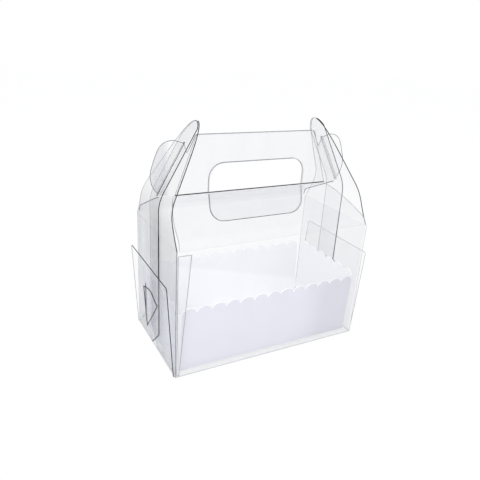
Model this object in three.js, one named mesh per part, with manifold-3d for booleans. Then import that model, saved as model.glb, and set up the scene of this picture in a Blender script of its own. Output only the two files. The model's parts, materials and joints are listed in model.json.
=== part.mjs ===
// Clear gable box for pastries with a carrying handle, and the white scalloped tray that stands in it.
// The box is one creased plastic sheet and the tray one creased board: each panel between creases is its
// own mesh. Millimetres, +Z up, front at -Y, origin under the middle of the base on the table.
import * as THREE from 'three';
import { mergeVertices } from 'three/addons/utils/BufferGeometryUtils.js';
import Module from 'manifold-3d';

const wasm = await Module();
wasm.setup();

// Sheets and clearances
const sheet = 0.5; // plastic sheet thickness
const board = 0.8; // tray board thickness
const gap = 0.3; // clearance between panels that meet at a crease or lie on each other

// Body
const bodyLength = 160;
const bodyDepth = 85;
const shoulderHeight = 98; // creases of the roofs and of the ears
const frontReach = 13; // how far a front half end reaches past the middle
const backReach = 8; // the same for a back half end
const cornerChamfer = 15; // lower free corner of a half end
const seamFlapWidth = 9.5; // upper end of the glued flap inside the front wall, at the left
const seamFlapFoot = 1.5; // its lower end
const seamFlapDrop = 3; // its upper end, below the shoulder

// Roofs
const ridgeHeight = 123;
const shoulderRadius = 8;
const frontRidgeInset = 12; // front roof's end at the ridge, in from the ear
const lidClearance = 0.6; // roof edge to the ears and half ends

// Ears: vertical above the crease, then bent inwards
const earBendHeight = 113.8;
const earBendRadius = 30;
const earLean = 29.2; // degrees from vertical
const earTipHeight = 175;
const earWaistDepth = 22; // outline handle near the shoulder, from the middle
const earWaistHeight = 126;
const earCrownDepth = 17.5; // outline handle that rounds the tip

// Slot in the ears and the tab that goes through it
const slotAboveRidge = 1;
const slotBelowTip = 14.7; // slot's upper end, below the ear's tip
const slotBelowTop = 5.2; // the same, below the handle's top
const slotWidth = 1.8;
const tabClearance = 0.7; // tab's ends to the slot's ends
const tabRootInset = 6.5; // tab's lower edge leaves the ridge this far in from the ear
const notchDepth = 7.6; // below the slot's upper end
const notchInset = 6.4; // in from the ear

// Handle panels
const handleHeight = 42.5; // above the ridge
const handleTopInset = 5.6; // top corner, in from the ear
const handleCornerRadius = 2.5;
const holeHalfLength = 41;
const holeHeight = 21.5; // from the ridge up
const holeCornerRadius = 11.5;
const holeShift = 2; // middle of the hand hole, right of the box's middle
const holeFlapLean = 15; // degrees, lower edge to the front

// Outer end flaps and their locking tongues
const flapHeight = 72;
const flapLean = 4; // degrees outwards
const flapTopInset = 1; // each upper corner, in from the lower one
const flapFootInset = 1.4; // each lower corner, in from the body's corner
const flapCornerRadius = 2;
const tongueBase = 15; // crease of the tongue, back from the middle
const tongueTip = -16; // nose of the tongue
const tongueTop = 46.5;
const tongueCrown = 4; // rise of the tongue's upper edge
const tongueNose = 45.5; // height of the nose
const tongueFoot = 11;
const slitPlace = 23; // slit in the back half end, back from the middle
const slitTop = 45;
const slitFoot = 18;
const slitTail = 9;
const slitWidth = 1.2;

// Tray
const trayEndClearance = 4.6; // floor's short edge to the end of the box
const traySideClearance = 5.3; // floor's long edge to the front or back of the box
const traySideHeight = 48; // front and back walls, to the valleys of the scallops
const trayEndHeight = 50;
const traySideLean = 3; // degrees outwards
const trayEndLean = 2;
const trayWallInset = 0.5; // each end of a wall, in from the floor's edge
const scallopPitch = 11.5;
const scallopRise = 4;

const halfLength = bodyLength / 2;
const halfDepth = bodyDepth / 2;
const slotLow = ridgeHeight + slotAboveRidge;
const lidTop = ridgeHeight + handleHeight;
const slotHigh = Math.min(earTipHeight - slotBelowTip, lidTop - slotBelowTop);
const trayHalfLength = halfLength - trayEndClearance;
const trayHalfDepth = halfDepth - traySideClearance;
const layerStep = sheet + gap; // from the outer layer of an end to the inner one
const endThickness = 2 * sheet + gap;
const degree = Math.PI / 180;

const clearSheet = (tint) => new THREE.MeshStandardMaterial({
  color: tint, roughness: 0.06, metalness: 0, transparent: true, opacity: 0.25, side: THREE.DoubleSide,
});
const bodySheet = clearSheet(0xe6ecf2);
const lidSheet = clearSheet(0xe9eef4);
const earSheet = clearSheet(0xdde4ec);
const flapSheet = clearSheet(0xe2e8ef);
const trayBoard = new THREE.MeshStandardMaterial({ color: 0xf6f6f8, roughness: 0.8, metalness: 0 });

// Booleans
function toSolid(geometry) {
  const bare = geometry.clone();
  bare.deleteAttribute('normal');
  bare.deleteAttribute('uv');
  const merged = mergeVertices(bare, 1e-4);
  return new wasm.Manifold(new wasm.Mesh({
    numProp: 3,
    vertProperties: new Float32Array(merged.attributes.position.array),
    triVerts: new Uint32Array(merged.index.array),
  }));
}

function toGeometry(solid) {
  const mesh = solid.getMesh();
  const geometry = new THREE.BufferGeometry();
  geometry.setAttribute('position', new THREE.BufferAttribute(new Float32Array(mesh.vertProperties), 3));
  geometry.setIndex(new THREE.BufferAttribute(new Uint32Array(mesh.triVerts), 1));
  geometry.computeVertexNormals();
  return geometry;
}

// Sheets: an outline in two of the axes, thickened along the third
const point = (a, b) => new THREE.Vector2(a, b);

function outline(points, holes = []) {
  const shape = new THREE.Shape(points);
  shape.holes = holes.map((hole) => new THREE.Path(hole));
  return shape;
}

function thicken(shape, thickness) {
  return new THREE.ExtrudeGeometry(shape, { depth: thickness, bevelEnabled: false, curveSegments: 10 });
}

const facingFront = new THREE.Matrix4().makeRotationX(Math.PI / 2); // outline in x and z, grows to -Y
const facingSide = new THREE.Matrix4().makeBasis( // outline in y and z, grows to +X
  new THREE.Vector3(0, 1, 0), new THREE.Vector3(0, 0, 1), new THREE.Vector3(1, 0, 0));

function frontPlate(shape, backFace, thickness) {
  return thicken(shape, thickness).applyMatrix4(facingFront).translate(0, backFace, 0);
}

function sidePlate(shape, lowFace, thickness) {
  return thicken(shape, thickness).applyMatrix4(facingSide).translate(lowFace, 0, 0);
}

function topPlate(shape, lowFace, thickness) {
  return thicken(shape, thickness).translate(0, 0, lowFace);
}

function node(name, geometry, material) {
  const mesh = new THREE.Mesh(geometry, material);
  mesh.name = name;
  return mesh;
}

// A corner of an outline, rounded: points on the arc that joins the two edges
function roundedCorner(before, corner, after, radius, steps = 6) {
  const inward = before.clone().sub(corner).normalize();
  const outward = after.clone().sub(corner).normalize();
  const half = Math.acos(inward.dot(outward)) / 2;
  const reach = radius / Math.tan(half);
  const centre = inward.clone().add(outward).normalize().multiplyScalar(radius / Math.sin(half)).add(corner);
  const first = inward.multiplyScalar(reach).add(corner).sub(centre);
  const last = outward.multiplyScalar(reach).add(corner).sub(centre);
  const turn = Math.atan2(first.cross(last), first.dot(last));
  return Array.from({ length: steps + 1 }, (_, i) =>
    first.clone().rotateAround(point(0, 0), turn * i / steps).add(centre));
}

function rounded(corners, radii) {
  const count = corners.length;
  return corners.flatMap((corner, i) => (radii[i] > 0
    ? roundedCorner(corners[(i + count - 1) % count], corner, corners[(i + 1) % count], radii[i])
    : [corner]));
}

// Outline of both halves from the points of its right half, listed from the foot to the top
function mirrored(half) {
  const left = half.slice().reverse().filter((p) => p.x > 0).map((p) => point(-p.x, p.y));
  return half.concat(left);
}

// Face of an ear at a height, `inset` in from the outermost face of the end
function earFace(height, inset) {
  const radius = earBendRadius - inset;
  const centre = halfLength - earBendRadius;
  const rise = height - earBendHeight;
  if (rise <= 0) return halfLength - inset;
  if (rise <= radius * Math.sin(earLean * degree)) return centre + Math.sqrt(radius ** 2 - rise ** 2);
  const past = rise - radius * Math.sin(earLean * degree);
  return centre + radius * Math.cos(earLean * degree) - past * Math.tan(earLean * degree);
}

// Polar places about the crease of an ear: the ear swings about it, so the tab stays between two radii
function earRadius(height) {
  return Math.hypot(earFace(height, 0) - halfLength, height - shoulderHeight);
}

function earHeightAt(radius) {
  let low = shoulderHeight;
  let high = earTipHeight + radius;
  for (let i = 0; i < 50; i += 1) {
    const middle = (low + high) / 2;
    if (earRadius(middle) < radius) low = middle;
    else high = middle;
  }
  return low;
}

function beyondEar(radius, angle) {
  const height = earHeightAt(radius);
  const start = Math.atan2(height - shoulderHeight, earFace(height, 0) - halfLength);
  const turned = start - angle * degree;
  return point(halfLength + radius * Math.cos(turned), shoulderHeight + radius * Math.sin(turned));
}

// Base and the two long walls
function basePanel() {
  const shape = outline(rounded([
    point(-halfLength, -halfDepth), point(halfLength, -halfDepth),
    point(halfLength, halfDepth), point(-halfLength, halfDepth),
  ], [1, 1, 1, 1]));
  return node('base_panel', topPlate(shape, 0, sheet), bodySheet);
}

function longWall(name, side) {
  const low = sheet + gap;
  const high = shoulderHeight - gap / 2;
  const shape = outline([
    point(-halfLength, low), point(halfLength, low), point(halfLength, high), point(-halfLength, high),
  ]);
  const backFace = side < 0 ? -halfDepth + sheet : halfDepth;
  return node(name, frontPlate(shape, backFace, sheet), bodySheet);
}

// The flap that the maker glues to the inside of the front wall, wider towards the top
function seamFlap() {
  const root = -halfLength + layerStep + sheet + gap;
  const low = sheet + gap;
  const high = shoulderHeight - seamFlapDrop;
  const shape = outline([
    point(root, low), point(root + seamFlapFoot, low), point(root + seamFlapWidth, high), point(root, high),
  ]);
  return node('seam_flap', frontPlate(shape, -halfDepth + 2 * sheet + gap, sheet), bodySheet);
}

// Half ends: from a long wall to a little past the middle. The back one is the outer layer
function slitOutline() {
  const half = slitWidth / 2;
  return [
    point(slitPlace - half, slitFoot), point(slitPlace + slitTail - half, slitFoot - slitTail),
    point(slitPlace + slitTail + half, slitFoot - slitTail + half), point(slitPlace + half, slitFoot + half),
    point(slitPlace + half, slitTop), point(slitPlace - half, slitTop),
  ];
}

function halfEnd(name, end, side) {
  const low = sheet + gap;
  const high = shoulderHeight - gap / 2;
  const root = side * (halfDepth - sheet - gap);
  const free = -side * (side > 0 ? backReach : frontReach);
  const shape = outline([
    point(root, low), point(free + side * cornerChamfer, low), point(free, low + cornerChamfer),
    point(free, high), point(root, high),
  ], side > 0 ? [slitOutline()] : []);
  const inset = side > 0 ? 0 : layerStep;
  const lowFace = end > 0 ? halfLength - inset - sheet : -halfLength + inset;
  return node(name, sidePlate(shape, lowFace, sheet), bodySheet);
}

// Ears
function earOutline(from, to) {
  const half = halfDepth - sheet - gap;
  const foot = shoulderHeight + gap / 2;
  const edge = new THREE.CubicBezierCurve(
    point(half, foot), point(earWaistDepth, earWaistHeight),
    point(earCrownDepth, earTipHeight), point(0, earTipHeight)).getPoints(28);
  const whole = edge.concat(edge.slice(0, -1).reverse().map((p) => point(-p.x, p.y)));
  return outline(whole.map((p) => point(THREE.MathUtils.clamp(p.x, from, to), p.y)));
}

function earProfile(end, inset) {
  const foot = shoulderHeight + gap / 2;
  const top = earTipHeight + sheet;
  const steps = 12;
  const bendTop = earBendHeight + earBendRadius * Math.sin(earLean * degree);
  const heights = [foot];
  for (let i = 0; i <= steps; i += 1) heights.push(earBendHeight + (bendTop - earBendHeight) * i / steps);
  heights.push(top);
  const face = (depth) => heights.map((z) => point(end * earFace(z, depth), z));
  return outline(face(inset).concat(face(inset + sheet).reverse()));
}

function ear(name, end, inset, from, to) {
  const bent = frontPlate(earProfile(end, inset), halfDepth, bodyDepth);
  const cutter = sidePlate(earOutline(from, to), -bodyLength, 2 * bodyLength);
  const slot = frontPlate(outline([
    point(-bodyLength, slotLow), point(bodyLength, slotLow),
    point(bodyLength, slotHigh), point(-bodyLength, slotHigh),
  ]), (gap + sheet + slotWidth) / 2, slotWidth);
  const solid = toSolid(bent).intersect(toSolid(cutter)).subtract(toSolid(slot));
  return node(name, toGeometry(solid), earSheet);
}

// Roofs: a round shoulder, then a straight slope to the ridge
function roofProfile(side) {
  const centre = point(halfDepth - shoulderRadius, shoulderHeight + gap / 2);
  const ridge = point((gap + sheet) / 2, ridgeHeight - gap / 2);
  const toRidge = ridge.clone().sub(centre);
  const start = Math.atan2(toRidge.y, toRidge.x) - Math.acos(shoulderRadius / toRidge.length());
  const steps = 8;
  const face = (inset) => {
    const radius = shoulderRadius - inset;
    const arc = Array.from({ length: steps + 1 }, (_, i) =>
      point(radius, 0).rotateAround(point(0, 0), start * i / steps).add(centre));
    const normal = point(Math.cos(start), Math.sin(start));
    return arc.concat([ridge.clone().addScaledVector(normal, -inset)]);
  };
  const whole = face(0).concat(face(sheet).reverse());
  return outline(whole.map((p) => point(side * p.x, p.y)));
}

function roof(name, side, halfOutline) {
  const bent = sidePlate(roofProfile(side), -halfLength, bodyLength);
  const cutter = frontPlate(outline(mirrored(halfOutline)), bodyDepth, 2 * bodyDepth);
  return node(name, toGeometry(toSolid(bent).intersect(toSolid(cutter))), lidSheet);
}

function backRoof() {
  const side = (height) => point(earFace(height, endThickness) - lidClearance, height);
  const low = shoulderHeight - gap;
  const steps = 10;
  const edge = Array.from({ length: steps + 1 }, (_, i) =>
    side(earBendHeight + (ridgeHeight - earBendHeight) * i / steps));
  return roof('back_roof', 1, [side(low), ...edge]);
}

function frontRoof() {
  const low = shoulderHeight - gap;
  const foot = point(halfLength - endThickness - lidClearance, low);
  const head = point(frontRidgeHalf(), ridgeHeight);
  const edge = new THREE.QuadraticBezierCurve(
    foot, point(foot.x - lidClearance, (low + 2 * ridgeHeight) / 3), head).getPoints(12);
  return roof('front_roof', -1, edge);
}

// Handle panels
function frontRidgeHalf() {
  return earFace(ridgeHeight, endThickness) - frontRidgeInset;
}

function handleTopHalf() {
  return earFace(lidTop, 0) - handleTopInset;
}

// Upper edge of the hand hole, from its left foot to its right foot
function handHole(foot) {
  const left = point(holeShift - holeHalfLength, ridgeHeight + holeHeight);
  const right = point(holeShift + holeHalfLength, ridgeHeight + holeHeight);
  return [
    point(left.x, foot),
    ...roundedCorner(point(left.x, foot), left, right, holeCornerRadius),
    ...roundedCorner(left, right, point(right.x, foot), holeCornerRadius),
    point(right.x, foot),
  ];
}

// A handle panel from its right side, listed from the foot to the upper corner
function handlePanel(name, backFace, side) {
  const left = side.slice().reverse().map((p) => point(-p.x, p.y));
  const shape = outline([...handHole(side[0].y), ...side, ...left]);
  return node(name, frontPlate(shape, backFace, sheet), lidSheet);
}

function upperCorner(before) {
  return roundedCorner(before, point(handleTopHalf(), lidTop), point(0, lidTop), handleCornerRadius);
}

function frontHandle() {
  const foot = point(frontRidgeHalf(), ridgeHeight + gap / 2);
  return handlePanel('front_handle', -gap / 2, [foot, ...upperCorner(foot)]);
}

// The tab outside the ear, as its share of the slot's reach and degrees past the ear's face
function tabEdge() {
  const low = earRadius(slotLow) + tabClearance;
  const high = earRadius(slotHigh) - tabClearance;
  const reach = high - low;
  const places = [
    [0, -2], [0.1, 7.5], [0.22, 13.7], [0.38, 17], [0.6, 16.5],
    [0.82, 15], [0.94, 12.2], [1, 7.5], [1, 3.5], [1, 0],
  ];
  const curve = new THREE.SplineCurve(places.map(([share, angle]) => beyondEar(low + share * reach, angle)));
  return curve.getPoints(40);
}

function backHandle() {
  const notch = slotHigh - notchDepth;
  const inEar = (height) => point(earFace(height, 0) - notchInset, height);
  const root = point(earFace(ridgeHeight, 0) - tabRootInset, ridgeHeight + gap / 2);
  return handlePanel('back_handle', gap / 2 + sheet, [
    root, ...tabEdge(), inEar(notch), inEar(notch + notchDepth / 2), ...upperCorner(inEar(slotHigh)),
  ]);
}

// The pieces cut from the hand holes hang from the ridge inside the box, side by side
function holeFlap(name, side) {
  const slope = Math.atan2(ridgeHeight - shoulderHeight - shoulderRadius, halfDepth);
  const low = gap - holeHeight;
  const left = holeShift - holeHalfLength + gap;
  const right = holeShift + holeHalfLength - gap;
  const shape = outline(rounded(
    [point(left, low), point(right, low), point(right, 0), point(left, 0)],
    [holeCornerRadius, holeCornerRadius, 0, 0]));
  const backFace = side < 0 ? -gap / 2 : gap / 2 + sheet;
  const flap = node(name, frontPlate(shape, backFace, sheet), lidSheet);
  flap.position.z = ridgeHeight - gap / 2 - sheet / Math.cos(slope) - 2 * gap;
  flap.rotation.x = -holeFlapLean * degree;
  return flap;
}

// Outer end flaps, hinged at the base's short edges, with a tongue cut in each
function tongueOutline(clearance) {
  const base = tongueBase + clearance;
  const middle = (tongueBase + tongueTip) / 2;
  const upper = new THREE.SplineCurve([
    point(base, tongueTop + clearance), point(middle, tongueTop + tongueCrown + clearance),
    point(tongueTip + 0.15 * (tongueBase - tongueTip), tongueTop + clearance),
    point(tongueTip - clearance, tongueNose),
  ]).getPoints(14);
  return upper.concat([point(base, tongueFoot - clearance * Math.SQRT2)]);
}

function flapFrame(end) {
  const frame = new THREE.Group();
  frame.position.set(end * (halfLength + gap), 0, sheet);
  frame.rotation.y = end * flapLean * degree;
  return frame;
}

function endFlap(name, end) {
  const foot = halfDepth - flapFootInset;
  const head = foot - flapTopInset;
  const shape = outline(
    rounded([point(-foot, 0), point(foot, 0), point(head, flapHeight), point(-head, flapHeight)],
      [0, 0, flapCornerRadius, flapCornerRadius]),
    [tongueOutline(gap)]);
  return node(name, sidePlate(shape, end > 0 ? 0 : -sheet, sheet), flapSheet);
}

function tongue(name, end) {
  return node(name, sidePlate(outline(tongueOutline(0)), end > 0 ? 0 : -sheet, sheet), flapSheet);
}

// Tray
const trayTop = sheet + gap + board;

function scalloped(halfWidth, height) {
  const count = Math.round(2 * halfWidth / scallopPitch);
  const pitch = 2 * halfWidth / count;
  const radius = (pitch ** 2 / 4 + scallopRise ** 2) / (2 * scallopRise);
  const half = Math.asin(pitch / 2 / radius);
  const edge = [];
  for (let i = 0; i < count; i += 1) {
    const middle = halfWidth - (i + 0.5) * pitch;
    for (let k = 0; k < 6; k += 1) {
      const angle = half * (1 - 2 * k / 6);
      const drop = radius * (1 - Math.cos(angle));
      edge.push(point(middle + radius * Math.sin(angle), height + scallopRise - drop));
    }
  }
  return outline([
    point(-halfWidth, 0), point(halfWidth, 0), ...edge, point(-halfWidth, height),
  ]);
}

function trayFloor() {
  const shape = outline([
    point(-trayHalfLength, -trayHalfDepth), point(trayHalfLength, -trayHalfDepth),
    point(trayHalfLength, trayHalfDepth), point(-trayHalfLength, trayHalfDepth),
  ]);
  return node('tray_floor', topPlate(shape, sheet + gap, board), trayBoard);
}

function traySideWall(name, side) {
  const shape = scalloped(trayHalfLength - trayWallInset, traySideHeight);
  const wall = node(name, frontPlate(shape, side > 0 ? board : 0, board), trayBoard);
  wall.position.set(0, side * trayHalfDepth, trayTop + gap);
  wall.rotation.x = -side * traySideLean * degree;
  return wall;
}

function trayEndWall(name, end) {
  const shape = scalloped(trayHalfDepth - trayWallInset, trayEndHeight);
  const wall = node(name, sidePlate(shape, end > 0 ? 0 : -board, board), trayBoard);
  wall.position.set(end * trayHalfLength, 0, trayTop + gap);
  wall.rotation.y = end * trayEndLean * degree;
  return wall;
}

function tray() {
  const group = new THREE.Group();
  group.add(
    trayFloor(),
    traySideWall('tray_front_wall', -1), traySideWall('tray_back_wall', 1),
    trayEndWall('tray_left_wall', -1), trayEndWall('tray_right_wall', 1));
  return group;
}

function boxEnd(label, end) {
  const group = new THREE.Group();
  const reach = halfDepth;
  const flap = flapFrame(end);
  flap.add(endFlap(`${label}_end_flap`, end), tongue(`${label}_tongue`, end));
  group.add(
    halfEnd(`${label}_front_half_end`, end, -1), halfEnd(`${label}_back_half_end`, end, 1),
    ear(`${label}_front_ear`, end, layerStep, -reach, frontReach),
    ear(`${label}_back_ear`, end, 0, -backReach, reach), flap);
  return group;
}

const pastryBox = new THREE.Group();
pastryBox.add(
  basePanel(), longWall('front_wall', -1), longWall('back_wall', 1), seamFlap(),
  boxEnd('left', -1), boxEnd('right', 1),
  frontRoof(), frontHandle(), backRoof(), backHandle(),
  holeFlap('front_hole_flap', -1), holeFlap('back_hole_flap', 1), tray());

export default pastryBox;
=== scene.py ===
"""Looks of a clear gable box and the white scalloped tray in it.

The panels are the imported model's own. This script gives them their finish, lays a thin bead along
their cut edges and creases, and sets the stage, the light and the camera. Front is -Y, up is +Z.
"""
import json
import math

import bmesh
import bpy
from mathutils import Matrix, Vector

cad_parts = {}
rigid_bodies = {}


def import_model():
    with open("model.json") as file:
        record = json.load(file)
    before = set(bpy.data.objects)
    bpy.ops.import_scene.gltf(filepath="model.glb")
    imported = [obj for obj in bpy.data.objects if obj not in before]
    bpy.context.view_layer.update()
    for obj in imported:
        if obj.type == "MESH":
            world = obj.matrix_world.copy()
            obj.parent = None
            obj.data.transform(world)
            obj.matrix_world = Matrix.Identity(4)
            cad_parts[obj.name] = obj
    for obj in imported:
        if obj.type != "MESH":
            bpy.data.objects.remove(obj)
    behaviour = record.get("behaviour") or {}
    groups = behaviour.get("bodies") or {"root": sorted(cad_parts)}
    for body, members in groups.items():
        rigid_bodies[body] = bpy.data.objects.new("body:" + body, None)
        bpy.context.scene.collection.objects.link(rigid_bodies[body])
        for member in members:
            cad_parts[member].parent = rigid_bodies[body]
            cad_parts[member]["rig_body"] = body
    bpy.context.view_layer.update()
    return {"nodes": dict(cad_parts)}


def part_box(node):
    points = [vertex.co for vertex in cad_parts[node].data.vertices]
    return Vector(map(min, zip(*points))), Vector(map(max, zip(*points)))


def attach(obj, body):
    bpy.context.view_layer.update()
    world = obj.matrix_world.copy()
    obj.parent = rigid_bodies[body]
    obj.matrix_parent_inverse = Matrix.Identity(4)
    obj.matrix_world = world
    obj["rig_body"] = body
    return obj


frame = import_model()
nodes = frame["nodes"]

MM = 0.001

# Sizes read from the frame
base_low, base_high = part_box("base_panel")
sheet = base_high.z - base_low.z
half_length = base_high.x
half_depth = base_high.y
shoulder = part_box("front_wall")[1].z
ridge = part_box("front_handle")[0].z

# Radii and sides of the beads that draw cut edges and creases
CUT_RADIUS = 0.44 * MM
RIDGE_RADIUS = 0.42 * MM
FINE_RADIUS = 0.32 * MM
THIN_RADIUS = 0.22 * MM
CREASE_RADIUS = 0.18 * MM
CUT_SIDES = 6
CREASE_SIDES = 8

# An edge is drawn if its faces meet this sharply and one of them is turned outward
SHARP_EDGE = math.radians(50)
OUTWARD = 0.45
MARK = "cut"
WELD = 1e-6

# How far a line keeps from the creases, and where one line of a panel ends and the next begins
CREASE_BAND = 1.2 * MM
WALL_BAND = 1.5 * MM
WALL_CREASE_INSET = 0.8 * MM
RIDGE_BAND = 0.3 * MM
TONGUE_BAND = 0.6 * MM
SLOT_BAND = 1.3 * MM
FLAP_FOOT = 1.5 * MM
FLAP_REAR = 6 * MM
SLIT_SIDE = 5 * MM
FOOT_BAND = 3 * MM

# Creases lie this far inside the corners, and above the face of the sheet
CORNER_INSET = 0.2 * MM
CREASE_RISE = 0.1 * MM

# Share of the sheets' grey that casts no shadow and takes no light from its neighbours
UNSHADED = 0.75

# Camera, in metres and degrees
CAMERA_PLACE = Vector((-0.187, -0.3168, 0.2294))
CAMERA_AZIMUTH = -29.18
CAMERA_ELEVATION = 22.22
CAMERA_ROLL = 3.61
CAMERA_LENS = 37.23

# Stage and lamps
FLOOR_REACH = 3.0
FLOOR_DROP = 0.2 * MM
FLOOR_GLOW = 0.93
LAMP_AIM = (0, 0, 0.05)


# Shader helpers
def wire(tree, source, target):
    tree.links.new(source, target)


def place(tree, kind, **values):
    made = tree.nodes.new(kind)
    for name, value in values.items():
        setattr(made, name, value)
    return made


def new_material(name):
    made = bpy.data.materials.new(name)
    made.use_nodes = True
    tree = made.node_tree
    tree.nodes.clear()
    shader = place(tree, "ShaderNodeBsdfPrincipled")
    output = place(tree, "ShaderNodeOutputMaterial")
    wire(tree, shader.outputs["BSDF"], output.inputs["Surface"])
    return made, tree, shader


def plain_view(tree):
    """1 for what the camera, a gloss or clear plastic shows, 0 for light that falls on a surface."""
    path = place(tree, "ShaderNodeLightPath")
    most = place(tree, "ShaderNodeMath", operation="MAXIMUM")
    both = place(tree, "ShaderNodeMath", operation="MAXIMUM")
    wire(tree, path.outputs["Is Camera Ray"], most.inputs[0])
    wire(tree, path.outputs["Is Glossy Ray"], most.inputs[1])
    wire(tree, most.outputs["Value"], both.inputs[0])
    wire(tree, path.outputs["Is Transmission Ray"], both.inputs[1])
    return both.outputs["Value"]


def map_range(tree, source, before, past, **values):
    """A node that turns the range of values before into the range past."""
    made = place(tree, "ShaderNodeMapRange", **values)
    made.inputs["From Min"].default_value = before[0]
    made.inputs["From Max"].default_value = before[1]
    made.inputs["To Min"].default_value = past[0]
    made.inputs["To Max"].default_value = past[1]
    wire(tree, source, made.inputs["Value"])
    return made.outputs["Result"]


def effect_group(name, inputs, outputs):
    group = bpy.data.node_groups.new(name, "ShaderNodeTree")
    for label, kind, value in inputs:
        made = group.interface.new_socket(label, in_out="INPUT", socket_type=kind)
        if value is not None:
            made.default_value = value
    for label, kind in outputs:
        group.interface.new_socket(label, in_out="OUTPUT", socket_type=kind)
    return group, place(group, "NodeGroupInput"), place(group, "NodeGroupOutput")


def sheet_waves_group():
    """Slow waves and faint scuffs of a thin plastic sheet."""
    group, given, result = effect_group(
        "sheet_waves",
        [("Wave Size", "NodeSocketFloat", 18.0), ("Wave Height", "NodeSocketFloat", 0.2),
         ("Scuff Size", "NodeSocketFloat", 900.0), ("Smooth", "NodeSocketFloat", 0.05),
         ("Scuffed", "NodeSocketFloat", 0.18), ("Clear", "NodeSocketColor", (0.6, 0.6, 0.62, 1)),
         ("Streak", "NodeSocketColor", (0.3, 0.3, 0.33, 1)), ("Streak Size", "NodeSocketFloat", 70.0)],
        [("Roughness", "NodeSocketFloat"), ("Height", "NodeSocketFloat"), ("Color", "NodeSocketColor")])
    where = place(group, "ShaderNodeTexCoord")
    waves = place(group, "ShaderNodeTexNoise")
    waves.inputs["Detail"].default_value = 1.5
    scuffs = place(group, "ShaderNodeTexNoise")
    scuffs.inputs["Detail"].default_value = 6.0
    height = place(group, "ShaderNodeMath", operation="MULTIPLY")
    rough = place(group, "ShaderNodeMapRange")
    rough.inputs["From Min"].default_value = 0.45
    rough.inputs["From Max"].default_value = 0.75
    wire(group, where.outputs["Object"], waves.inputs["Vector"])
    wire(group, where.outputs["Object"], scuffs.inputs["Vector"])
    wire(group, given.outputs["Wave Size"], waves.inputs["Scale"])
    wire(group, given.outputs["Scuff Size"], scuffs.inputs["Scale"])
    wire(group, waves.outputs["Fac"], height.inputs[0])
    wire(group, given.outputs["Wave Height"], height.inputs[1])
    wire(group, scuffs.outputs["Fac"], rough.inputs["Value"])
    wire(group, given.outputs["Smooth"], rough.inputs["To Min"])
    wire(group, given.outputs["Scuffed"], rough.inputs["To Max"])
    wire(group, rough.outputs["Result"], result.inputs["Roughness"])
    wire(group, height.outputs["Value"], result.inputs["Height"])
    upright = place(group, "ShaderNodeMapping")
    upright.inputs["Scale"].default_value = (1.0, 1.0, 0.12)
    streaks = place(group, "ShaderNodeTexNoise")
    streaks.inputs["Detail"].default_value = 2.0
    tint = place(group, "ShaderNodeMix", data_type="RGBA")
    wire(group, where.outputs["Object"], upright.inputs["Vector"])
    wire(group, upright.outputs["Vector"], streaks.inputs["Vector"])
    wire(group, given.outputs["Streak Size"], streaks.inputs["Scale"])
    wire(group, map_range(group, streaks.outputs["Fac"], (0.35, 0.65), (0, 1)), tint.inputs["Factor"])
    wire(group, given.outputs["Clear"], tint.inputs["A"])
    wire(group, given.outputs["Streak"], tint.inputs["B"])
    wire(group, tint.outputs["Result"], result.inputs["Color"])
    return group


def board_grain_group():
    """Fibres and clouding of bleached board."""
    group, given, result = effect_group(
        "board_grain",
        [("Light", "NodeSocketColor", (0.975, 0.975, 0.985, 1)),
         ("Shade", "NodeSocketColor", (0.95, 0.95, 0.965, 1)),
         ("Fibre Size", "NodeSocketFloat", 1400.0), ("Cloud Size", "NodeSocketFloat", 60.0)],
        [("Color", "NodeSocketColor"), ("Height", "NodeSocketFloat")])
    where = place(group, "ShaderNodeTexCoord")
    fibres = place(group, "ShaderNodeTexNoise")
    fibres.inputs["Detail"].default_value = 8.0
    clouds = place(group, "ShaderNodeTexNoise")
    clouds.inputs["Detail"].default_value = 3.0
    blend = place(group, "ShaderNodeMix", data_type="RGBA")
    wire(group, where.outputs["Object"], fibres.inputs["Vector"])
    wire(group, where.outputs["Object"], clouds.inputs["Vector"])
    wire(group, given.outputs["Fibre Size"], fibres.inputs["Scale"])
    wire(group, given.outputs["Cloud Size"], clouds.inputs["Scale"])
    wire(group, clouds.outputs["Fac"], blend.inputs["Factor"])
    wire(group, given.outputs["Light"], blend.inputs["A"])
    wire(group, given.outputs["Shade"], blend.inputs["B"])
    wire(group, blend.outputs["Result"], result.inputs["Color"])
    wire(group, fibres.outputs["Fac"], result.inputs["Height"])
    return group


SHEET_WAVES = sheet_waves_group()
BOARD_GRAIN = board_grain_group()


def bump_from(tree, height, strength, distance):
    bump = place(tree, "ShaderNodeBump")
    bump.inputs["Strength"].default_value = strength
    bump.inputs["Distance"].default_value = distance
    wire(tree, height, bump.inputs["Height"])
    return bump.outputs["Normal"]


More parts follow.
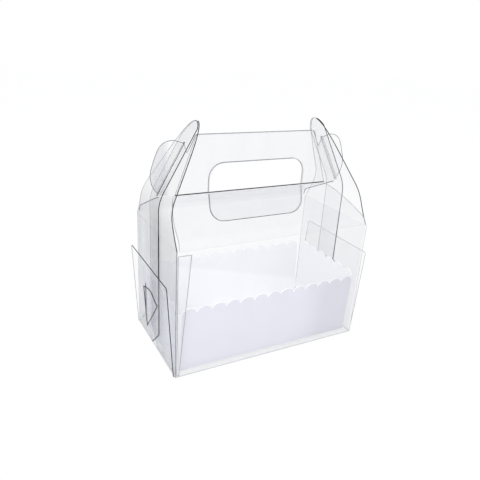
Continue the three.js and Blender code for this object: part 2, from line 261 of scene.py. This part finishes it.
def clear_sheet(name, clear, streak, face_on, edge_on, wave_size=18.0, fade=None):
    """Clear plastic: nearly invisible seen square on, greyer and glossier at a slant.

    A fade is an axis, two places on it, and the shares of the grey at and beyond these.
    """
    made, tree, shader = new_material(name)
    shader.inputs["IOR"].default_value = 1.5
    waves = place(tree, "ShaderNodeGroup", node_tree=SHEET_WAVES)
    waves.inputs["Wave Size"].default_value = wave_size
    waves.inputs["Clear"].default_value = (*clear, 1)
    waves.inputs["Streak"].default_value = (*streak, 1)
    wire(tree, waves.outputs["Color"], shader.inputs["Base Color"])
    wire(tree, waves.outputs["Roughness"], shader.inputs["Roughness"])
    wire(tree, bump_from(tree, waves.outputs["Height"], 0.15, 2 * MM), shader.inputs["Normal"])
    slant = place(tree, "ShaderNodeLayerWeight")
    slant.inputs["Blend"].default_value = 0.3
    grey = map_range(tree, slant.outputs["Facing"], (0, 1), (face_on, edge_on))
    if fade:
        axis, places, shares = fade
        where = place(tree, "ShaderNodeTexCoord")
        axes = place(tree, "ShaderNodeSeparateXYZ")
        faded = place(tree, "ShaderNodeMath", operation="MULTIPLY")
        wire(tree, where.outputs["Object"], axes.inputs["Vector"])
        wire(tree, grey, faded.inputs[0])
        wire(tree, map_range(tree, axes.outputs[axis], places, shares), faded.inputs[1])
        grey = faded.outputs["Value"]
    path = place(tree, "ShaderNodeLightPath")
    shade = place(tree, "ShaderNodeMath", operation="MAXIMUM")
    kept = place(tree, "ShaderNodeMath", operation="MULTIPLY_ADD")
    kept.inputs[1].default_value = -UNSHADED
    kept.inputs[2].default_value = 1.0
    seen = place(tree, "ShaderNodeMath", operation="MULTIPLY")
    wire(tree, path.outputs["Is Shadow Ray"], shade.inputs[0])
    wire(tree, path.outputs["Is Diffuse Ray"], shade.inputs[1])
    wire(tree, shade.outputs["Value"], kept.inputs[0])
    wire(tree, grey, seen.inputs[0])
    wire(tree, kept.outputs["Value"], seen.inputs[1])
    wire(tree, seen.outputs["Value"], shader.inputs["Alpha"])
    return made


def line_material(name, dark, light):
    """A cut edge or a crease, seen as a grey line that is darker in places; the grey and its darker patches
    are painted shade for light bent away at the clear sheet's edges and folds.
    """
    made, tree, shader = new_material(name)
    where = place(tree, "ShaderNodeTexCoord")
    patches = place(tree, "ShaderNodeTexNoise")
    patches.inputs["Scale"].default_value = 160.0
    blend = place(tree, "ShaderNodeMix", data_type="RGBA")
    blend.inputs["A"].default_value = (*dark, 1)
    blend.inputs["B"].default_value = (*light, 1)
    wire(tree, where.outputs["Object"], patches.inputs["Vector"])
    wire(tree, patches.outputs["Fac"], blend.inputs["Factor"])
    wire(tree, blend.outputs["Result"], shader.inputs["Base Color"])
    shader.inputs["Roughness"].default_value = 0.5
    shader.inputs["Specular IOR Level"].default_value = 0.12
    return made


def tray_board(name, outward, inside=0.975, outside=0.735, painted_shade=None):
    """Board that is white on its inner face and greyer on the face turned outward; the outward grey is
    partly the board's greyer back and partly painted shade.

    The painted shade is a direction, two distances along it and the share of the tone beyond the second:
    painted shade that darkens the board's colour along that direction.
    """
    made, tree, shader = new_material(name)
    grain = place(tree, "ShaderNodeGroup", node_tree=BOARD_GRAIN)
    grain.inputs["Light"].default_value = (inside, inside, 1.01 * inside, 1)
    grain.inputs["Shade"].default_value = (0.97 * inside, 0.97 * inside, 0.99 * inside, 1)
    rear = place(tree, "ShaderNodeGroup", node_tree=BOARD_GRAIN)
    rear.inputs["Light"].default_value = (outside, outside, 1.07 * outside, 1)
    rear.inputs["Shade"].default_value = (0.94 * outside, 0.94 * outside, 1.01 * outside, 1)
    rear.inputs["Fibre Size"].default_value = 900.0
    where = place(tree, "ShaderNodeTexCoord")
    turned = place(tree, "ShaderNodeVectorMath", operation="DOT_PRODUCT")
    turned.inputs[1].default_value = outward
    # The face turned outward takes the greyer tone: partly the board's greyer back, partly painted shade.
    tone = place(tree, "ShaderNodeMix", data_type="RGBA")
    wire(tree, where.outputs["Normal"], turned.inputs[0])
    wire(tree, map_range(tree, turned.outputs["Value"], (0.4, 0.6), (0, 1)), tone.inputs["Factor"])
    wire(tree, grain.outputs["Color"], tone.inputs["A"])
    wire(tree, rear.outputs["Color"], tone.inputs["B"])
    colour = tone.outputs["Result"]
    # Painted shade: the board's colour is darkened along the given direction.
    if painted_shade:
        direction, distances, share = painted_shade
        along = place(tree, "ShaderNodeVectorMath", operation="DOT_PRODUCT")
        along.inputs[1].default_value = direction
        shaded = place(tree, "ShaderNodeVectorMath", operation="SCALE")
        weaker = map_range(tree, along.outputs["Value"], distances, (1, share),
                           interpolation_type="SMOOTHSTEP")
        wire(tree, where.outputs["Object"], along.inputs[0])
        wire(tree, colour, shaded.inputs["Vector"])
        wire(tree, weaker, shaded.inputs["Scale"])
        colour = shaded.outputs["Vector"]
    wire(tree, colour, shader.inputs["Base Color"])
    wire(tree, bump_from(tree, grain.outputs["Height"], 0.12, 0.1 * MM), shader.inputs["Normal"])
    shader.inputs["Roughness"].default_value = 0.72
    return made


# Finishes: the tones seen square on and in streaks, then the grey square on and at a slant
WALL_SHEET = clear_sheet("wall_sheet", (0.6, 0.61, 0.65), (0.5, 0.51, 0.55), 0.02, 0.14)
ROOF_SHEET = clear_sheet("roof_sheet", (0.52, 0.54, 0.6), (0.45, 0.46, 0.52), 0.045, 0.25, 14.0)
# The handle sheet's grey rises six-fold towards its left tab: painted shade of the bent tab.
HANDLE_SHEET = clear_sheet("handle_sheet", (0.55, 0.57, 0.61), (0.45, 0.46, 0.5), 0.03, 0.22, 14.0,
                           fade=("X", (-73 * MM, -69 * MM), (6.0, 1.0)))
# The left end and ear sheets are darker, greyer copies of the plastic of the right ones: painted shade.
LEFT_END_SHEET = clear_sheet("left_end_sheet", (0.34, 0.35, 0.38), (0.2, 0.21, 0.23), 0.012, 0.54, 22.0)
RIGHT_END_SHEET = clear_sheet("right_end_sheet", (0.52, 0.53, 0.58), (0.4, 0.41, 0.45), 0.01, 0.36, 22.0)
LEFT_FLAP_SHEET = clear_sheet("left_flap_sheet", (0.56, 0.57, 0.62), (0.42, 0.43, 0.47), 0.012, 0.13, 20.0)
RIGHT_FLAP_SHEET = clear_sheet("right_flap_sheet", (0.56, 0.57, 0.62), (0.46, 0.47, 0.51), 0.01, 0.22, 20.0)
LEFT_EAR_SHEET = clear_sheet("left_ear_sheet", (0.34, 0.35, 0.38), (0.24, 0.25, 0.27), 0.03, 0.5, 26.0,
                             fade=("Z", (105 * MM, 132 * MM), (1.0, 0.34)))
RIGHT_EAR_SHEET = clear_sheet("right_ear_sheet", (0.56, 0.57, 0.61), (0.44, 0.45, 0.49), 0.015, 0.16, 26.0)
BASE_SHEET = clear_sheet("base_sheet", (0.5, 0.51, 0.55), (0.4, 0.41, 0.45), 0.03, 0.34)
DARK_CUT = line_material("dark_cut_edge", (0.004, 0.004, 0.005), (0.05, 0.05, 0.055))
GREY_CUT = line_material("grey_cut_edge", (0.07, 0.07, 0.08), (0.25, 0.25, 0.27))
PALE_CUT = line_material("pale_cut_edge", (0.3, 0.3, 0.32), (0.5, 0.5, 0.53))
CREASE = line_material("crease", (0.45, 0.45, 0.48), (0.66, 0.66, 0.7))
DARK_LINE = (CUT_RADIUS, DARK_CUT)
RIDGE_LINE = (RIDGE_RADIUS, DARK_CUT)
FINE_DARK_LINE = (FINE_RADIUS, DARK_CUT)
FINE_PALE_LINE = (FINE_RADIUS, PALE_CUT)
THIN_DARK_LINE = (THIN_RADIUS, DARK_CUT)
THIN_GREY_LINE = (THIN_RADIUS, GREY_CUT)
THIN_PALE_LINE = (THIN_RADIUS, PALE_CUT)
CREASE_LINE = (CREASE_RADIUS, CREASE)
FOOT_LINE = (CREASE_RADIUS, PALE_CUT)
BOARDS = {
    "tray_floor": tray_board("floor_board", (0, 0, -1)),
    # The front wall's colour darkens towards its right end: painted shade.
    "tray_front_wall": tray_board("front_board", (0, -1, 0), painted_shade=((1, 0, 0), (22 * MM, 58 * MM), 0.87)),
    # The upper right triangle of the back wall is darker: a painted diagonal shadow.
    "tray_back_wall": tray_board("back_board", (0, 1, 0), painted_shade=((0.27, 0, 1), (32 * MM, 37 * MM), 0.95)),
    "tray_left_wall": tray_board("left_board", (-1, 0, 0), outside=0.9),
    # The right wall's inner face is darker than the other walls' insides: painted shade.
    "tray_right_wall": tray_board("right_board", (1, 0, 0), inside=0.88),
}


# Beads along cut edges and creases
def bead_tree(name, marked_only):
    """Geometry Nodes tree: the edges of a mesh, or its marked ones alone, as thin round beads."""
    tree = bpy.data.node_groups.new(name, "GeometryNodeTree")
    for label, kind in (("Geometry", "Geometry"), ("Radius", "Float"), ("Sides", "Int"),
                        ("Material", "Material")):
        tree.interface.new_socket(label, in_out="INPUT", socket_type="NodeSocket" + kind)
    tree.interface.new_socket("Geometry", in_out="OUTPUT", socket_type="NodeSocketGeometry")
    given = place(tree, "NodeGroupInput")
    result = place(tree, "NodeGroupOutput")
    to_curve = place(tree, "GeometryNodeMeshToCurve")
    section = place(tree, "GeometryNodeCurvePrimitiveCircle")
    to_mesh = place(tree, "GeometryNodeCurveToMesh")
    to_mesh.inputs["Fill Caps"].default_value = True
    realize = place(tree, "GeometryNodeRealizeInstances")
    finish = place(tree, "GeometryNodeSetMaterial")
    if marked_only:
        marked = place(tree, "GeometryNodeInputNamedAttribute", data_type="BOOLEAN")
        marked.inputs["Name"].default_value = MARK
        wire(tree, marked.outputs["Attribute"], to_curve.inputs["Selection"])
    wire(tree, given.outputs["Geometry"], to_curve.inputs["Mesh"])
    wire(tree, given.outputs["Radius"], section.inputs["Radius"])
    wire(tree, given.outputs["Sides"], section.inputs["Resolution"])
    wire(tree, to_curve.outputs["Curve"], to_mesh.inputs["Curve"])
    wire(tree, section.outputs["Curve"], to_mesh.inputs["Profile Curve"])
    wire(tree, to_mesh.outputs["Mesh"], realize.inputs["Geometry"])
    wire(tree, realize.outputs["Geometry"], finish.inputs["Geometry"])
    wire(tree, given.outputs["Material"], finish.inputs["Material"])
    wire(tree, finish.outputs["Geometry"], result.inputs["Geometry"])
    return tree


CUT_EDGES = bead_tree("cut_edge_beads", marked_only=True)
CREASE_BEAD = bead_tree("crease_bead", marked_only=False)


def socket_key(tree, label):
    return next(item.identifier for item in tree.interface.items_tree
                if item.name == label and item.in_out == "INPUT")


def beads(name, mesh, tree, line, sides):
    """A mesh's edges as beads, in a plain new object."""
    seed = bpy.data.objects.new(name + "_seed", mesh)
    bpy.context.scene.collection.objects.link(seed)
    modifier = seed.modifiers.new("grow", "NODES")
    modifier.node_group = tree
    radius, material = line
    for label, value in (("Radius", radius), ("Sides", sides), ("Material", material)):
        modifier[socket_key(tree, label)] = value
    depsgraph = bpy.context.evaluated_depsgraph_get()
    made = bpy.data.meshes.new_from_object(seed.evaluated_get(depsgraph), depsgraph=depsgraph)
    bpy.data.objects.remove(seed)
    piece = bpy.data.objects.new(name, made)
    bpy.context.scene.collection.objects.link(piece)
    return piece


def marked_copy(node, outward, is_cut):
    """A merged copy of a panel whose cut edges, on the face turned outward, carry the mark."""
    mesh = nodes[node].data.copy()
    work = bmesh.new()
    work.from_mesh(mesh)
    bmesh.ops.remove_doubles(work, verts=work.verts, dist=WELD)
    work.edges.ensure_lookup_table()
    marks = []
    for edge in work.edges:
        sharp = len(edge.link_faces) == 2 and edge.calc_face_angle() > SHARP_EDGE
        outer = any(face.normal.dot(outward) > OUTWARD for face in edge.link_faces)
        middle = (edge.verts[0].co + edge.verts[1].co) / 2
        marks.append(sharp and outer and is_cut(middle))
    work.to_mesh(mesh)
    work.free()
    attribute = mesh.attributes.new(MARK, "BOOLEAN", "EDGE")
    attribute.data.foreach_set("value", marks)
    return mesh


def cut_line(name, node, outward, is_cut, line):
    mesh = marked_copy(node, Vector(outward).normalized(), is_cut)
    piece = beads(name + "_cut", mesh, CUT_EDGES, line, CUT_SIDES)
    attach(piece, nodes[node]["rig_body"])


# Tests of an edge's middle, which pick the edges that a line follows
def all_of(*tests):
    return lambda middle: all(test(middle) for test in tests)


def before(depth):
    return lambda middle: middle.y < depth


def behind(depth):
    return lambda middle: middle.y > depth


def over(height):
    return lambda middle: middle.z > height


def under(height):
    return lambda middle: middle.z < height


def clear_of(height):
    """Not at a crease that runs level at this height."""
    return lambda middle: abs(middle.z - height) >= CREASE_BAND


def clear_of_walls(middle):
    """Not at the creases where an end meets the long walls."""
    return abs(abs(middle.y) - (half_depth - WALL_CREASE_INSET)) > WALL_BAND


def at_slot(middle):
    return abs(middle.y) < SLOT_BAND and middle.z > ridge


def off_slot(middle):
    return not at_slot(middle)


def clear_of_hinge(node):
    """Not at the upright crease that joins a tongue to its flap."""
    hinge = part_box(node)[1].y
    return lambda middle: abs(middle.y - hinge) > TONGUE_BAND


def end_cut_lines(side, outward, flap_line, slot_line):
    body = all_of(clear_of(shoulder), clear_of_walls)
    ear = all_of(clear_of(shoulder), off_slot)
    flap = over(FLAP_FOOT)
    flap_rear = half_depth - FLAP_REAR
    tongue = clear_of_hinge(f"{side}_tongue")
    lines = [
        ("front_half_end", "", body, THIN_PALE_LINE),
        ("back_half_end", "", all_of(body, before(SLIT_SIDE)), DARK_LINE),
        ("back_half_end", "_slit", all_of(body, behind(SLIT_SIDE), over(FOOT_BAND)), THIN_DARK_LINE),
        ("back_half_end", "_foot", all_of(body, behind(SLIT_SIDE), under(FOOT_BAND)), THIN_PALE_LINE),
        ("front_ear", "", all_of(ear, before(0)), FINE_DARK_LINE),
        ("front_ear", "_edge", all_of(ear, behind(0)), THIN_PALE_LINE),
        ("back_ear", "", all_of(ear, before(0)), FINE_DARK_LINE),
        ("back_ear", "_rear", all_of(ear, behind(0)), THIN_PALE_LINE),
        ("back_ear", "_slot", at_slot, slot_line),
        ("end_flap", "", all_of(flap, before(flap_rear)), flap_line),
        ("end_flap", "_rear", all_of(flap, behind(flap_rear)), THIN_PALE_LINE),
        ("tongue", "", tongue, flap_line),
    ]
    for part, tail, is_cut, line in lines:
        cut_line(f"{side}_{part}{tail}", f"{side}_{part}", outward, is_cut, line)


def long_cut_lines():
    """Lines of the panels that run along the box."""
    front, back = (0, -1, 0), (0, 1, 0)
    every_edge = all_of()
    roof = all_of(clear_of(shoulder), clear_of(ridge - RIDGE_BAND))
    hole_top = clear_of(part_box("front_hole_flap")[1].z)
    lines = [
        ("seam_flap", front, every_edge, FINE_PALE_LINE),
        ("front_roof", (0, -1, 1), roof, THIN_PALE_LINE),
        ("back_roof", (0, 1, 1), roof, FINE_DARK_LINE),
        ("front_handle", front, clear_of(ridge), THIN_PALE_LINE),
        ("back_handle", back, clear_of(ridge), THIN_GREY_LINE),
        ("front_hole_flap", front, hole_top, THIN_DARK_LINE),
        ("back_hole_flap", back, hole_top, THIN_PALE_LINE),
    ]
    for node, outward, is_cut, line in lines:
        cut_line(node, node, outward, is_cut, line)


def crease(name, body, lines, line=CREASE_LINE):
    """Beads along folds, each given by its two ends."""
    mesh = bpy.data.meshes.new(name)
    points = [end for fold in lines for end in fold]
    mesh.from_pydata(points, [(i, i + 1) for i in range(0, len(points), 2)], [])
    piece = beads(name, mesh, CREASE_BEAD, line, CREASE_SIDES)
    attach(piece, body)


def box_creases():
    x, y = half_length - CORNER_INSET, half_depth - CORNER_INSET
    low = 0.5 * sheet + CREASE_RISE
    corners = [(-x, -y), (x, -y), (x, y), (-x, y)]
    upright = [[(*c, low), (*c, shoulder)] for c in corners]
    sides = zip(corners, corners[1:] + corners[:1])
    crease("base_creases", "box", [[(*a, low), (*b, low)] for a, b in sides], FOOT_LINE)
    crease("corner_creases", "box", upright[1:])
    crease("front_left_crease", "box", upright[:1], THIN_GREY_LINE)


def ridge_creases():
    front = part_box("front_roof")[1].y
    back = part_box("back_roof")[0].y
    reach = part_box("front_handle")[1].x
    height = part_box("front_roof")[1].z + CREASE_RISE
    crease("front_ridge_crease", "front_lid", [[(-reach, front, height), (reach, front, height)]],
           RIDGE_LINE)
    crease("back_ridge_crease", "box", [[(-reach, back, height), (reach, back, height)]],
           THIN_DARK_LINE)


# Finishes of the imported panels
def dress(node, material):
    mesh = nodes[node].data
    mesh.materials.clear()
    mesh.materials.append(material)


def dress_panels():
    for node in nodes:
        if node in BOARDS:
            dress(node, BOARDS[node])
        elif node.endswith("ear"):
            dress(node, LEFT_EAR_SHEET if node.startswith("left") else RIGHT_EAR_SHEET)
        elif "half_end" in node:
            dress(node, LEFT_END_SHEET if node.startswith("left") else RIGHT_END_SHEET)
        elif "end_flap" in node or "tongue" in node:
            dress(node, LEFT_FLAP_SHEET if node.startswith("left") else RIGHT_FLAP_SHEET)
        elif "roof" in node:
            dress(node, ROOF_SHEET)
        elif "handle" in node or "hole" in node:
            dress(node, HANDLE_SHEET)
        elif node == "base_panel":
            dress(node, BASE_SHEET)
        else:
            dress(node, WALL_SHEET)


# Stage, light and camera
def white_stage():
    """Floor that is white to the camera and keeps the soft shadow of the box."""
    made, tree, shader = new_material("stage_white")
    shader.inputs["Base Color"].default_value = (0.95, 0.95, 0.96, 1)
    shader.inputs["Roughness"].default_value = 0.9
    shader.inputs["Specular IOR Level"].default_value = 0.0
    glow = place(tree, "ShaderNodeEmission")
    glow.inputs["Color"].default_value = (1, 1, 1, 1)
    share = place(tree, "ShaderNodeMath", operation="MULTIPLY")
    share.inputs[1].default_value = FLOOR_GLOW
    blend = place(tree, "ShaderNodeMixShader")
    output = next(n for n in tree.nodes if n.type == "OUTPUT_MATERIAL")
    wire(tree, plain_view(tree), share.inputs[0])
    wire(tree, share.outputs["Value"], blend.inputs["Fac"])
    wire(tree, shader.outputs["BSDF"], blend.inputs[1])
    wire(tree, glow.outputs["Emission"], blend.inputs[2])
    wire(tree, blend.outputs["Shader"], output.inputs["Surface"])
    return made


def floor():
    mesh = bpy.data.meshes.new("floor")
    reach = FLOOR_REACH
    corners = [(-reach, -reach, 0), (reach, -reach, 0), (reach, reach, 0), (-reach, reach, 0)]
    mesh.from_pydata(corners, [], [(0, 1, 2, 3)])
    mesh.materials.append(white_stage())
    made = bpy.data.objects.new("floor", mesh)
    made.location.z = -FLOOR_DROP
    bpy.context.scene.collection.objects.link(made)


def world_light():
    world = bpy.data.worlds.new("studio")
    bpy.context.scene.world = world
    world.use_nodes = True
    tree = world.node_tree
    tree.nodes.clear()
    seen = place(tree, "ShaderNodeBackground")
    seen.inputs["Color"].default_value = (1, 1, 1, 1)
    seen.inputs["Strength"].default_value = 1.0
    light = place(tree, "ShaderNodeBackground")
    light.inputs["Color"].default_value = (0.97, 0.98, 1.0, 1)
    light.inputs["Strength"].default_value = 1.0
    blend = place(tree, "ShaderNodeMixShader")
    output = place(tree, "ShaderNodeOutputWorld")
    wire(tree, plain_view(tree), blend.inputs["Fac"])
    wire(tree, light.outputs["Background"], blend.inputs[1])
    wire(tree, seen.outputs["Background"], blend.inputs[2])
    wire(tree, blend.outputs["Shader"], output.inputs["Surface"])


def soft_lamp(name, place_at, size, power):
    data = bpy.data.lights.new(name, "AREA")
    data.size = size
    data.energy = power
    made = bpy.data.objects.new(name, data)
    made.location = place_at
    made.rotation_euler = (Vector(LAMP_AIM) - Vector(place_at)).to_track_quat("-Z", "Y").to_euler()
    bpy.context.scene.collection.objects.link(made)


def lamps():
    soft_lamp("key_lamp", (-0.7, -0.5, 1.0), size=0.8, power=5.0)
    soft_lamp("fill_lamp", (0.9, -0.9, 0.7), size=0.9, power=1.0)


def camera():
    data = bpy.data.cameras.new("camera")
    data.lens = CAMERA_LENS
    data.clip_start = 0.01
    made = bpy.data.objects.new("camera", data)
    azimuth, elevation, roll = (math.radians(a) for a in (CAMERA_AZIMUTH, CAMERA_ELEVATION, CAMERA_ROLL))
    ahead = Vector((-math.sin(azimuth) * math.cos(elevation), math.cos(azimuth) * math.cos(elevation),
                    -math.sin(elevation)))
    level = Vector((math.cos(azimuth), math.sin(azimuth), 0))
    upright = level.cross(ahead)
    right = math.cos(roll) * level + math.sin(roll) * upright
    up = -math.sin(roll) * level + math.cos(roll) * upright
    made.matrix_world = Matrix((
        (right.x, up.x, -ahead.x, CAMERA_PLACE.x),
        (right.y, up.y, -ahead.y, CAMERA_PLACE.y),
        (right.z, up.z, -ahead.z, CAMERA_PLACE.z),
        (0, 0, 0, 1)))
    bpy.context.scene.collection.objects.link(made)
    bpy.context.scene.camera = made


dress_panels()
end_cut_lines("left", (-1, 0, 0), flap_line=FINE_DARK_LINE, slot_line=THIN_DARK_LINE)
end_cut_lines("right", (1, 0, 0), flap_line=THIN_PALE_LINE, slot_line=THIN_PALE_LINE)
long_cut_lines()
box_creases()
ridge_creases()
floor()
world_light()
lamps()
camera()
bpy.context.scene.view_settings.view_transform = "Standard"
bpy.context.scene.cycles.transparent_max_bounces = 64
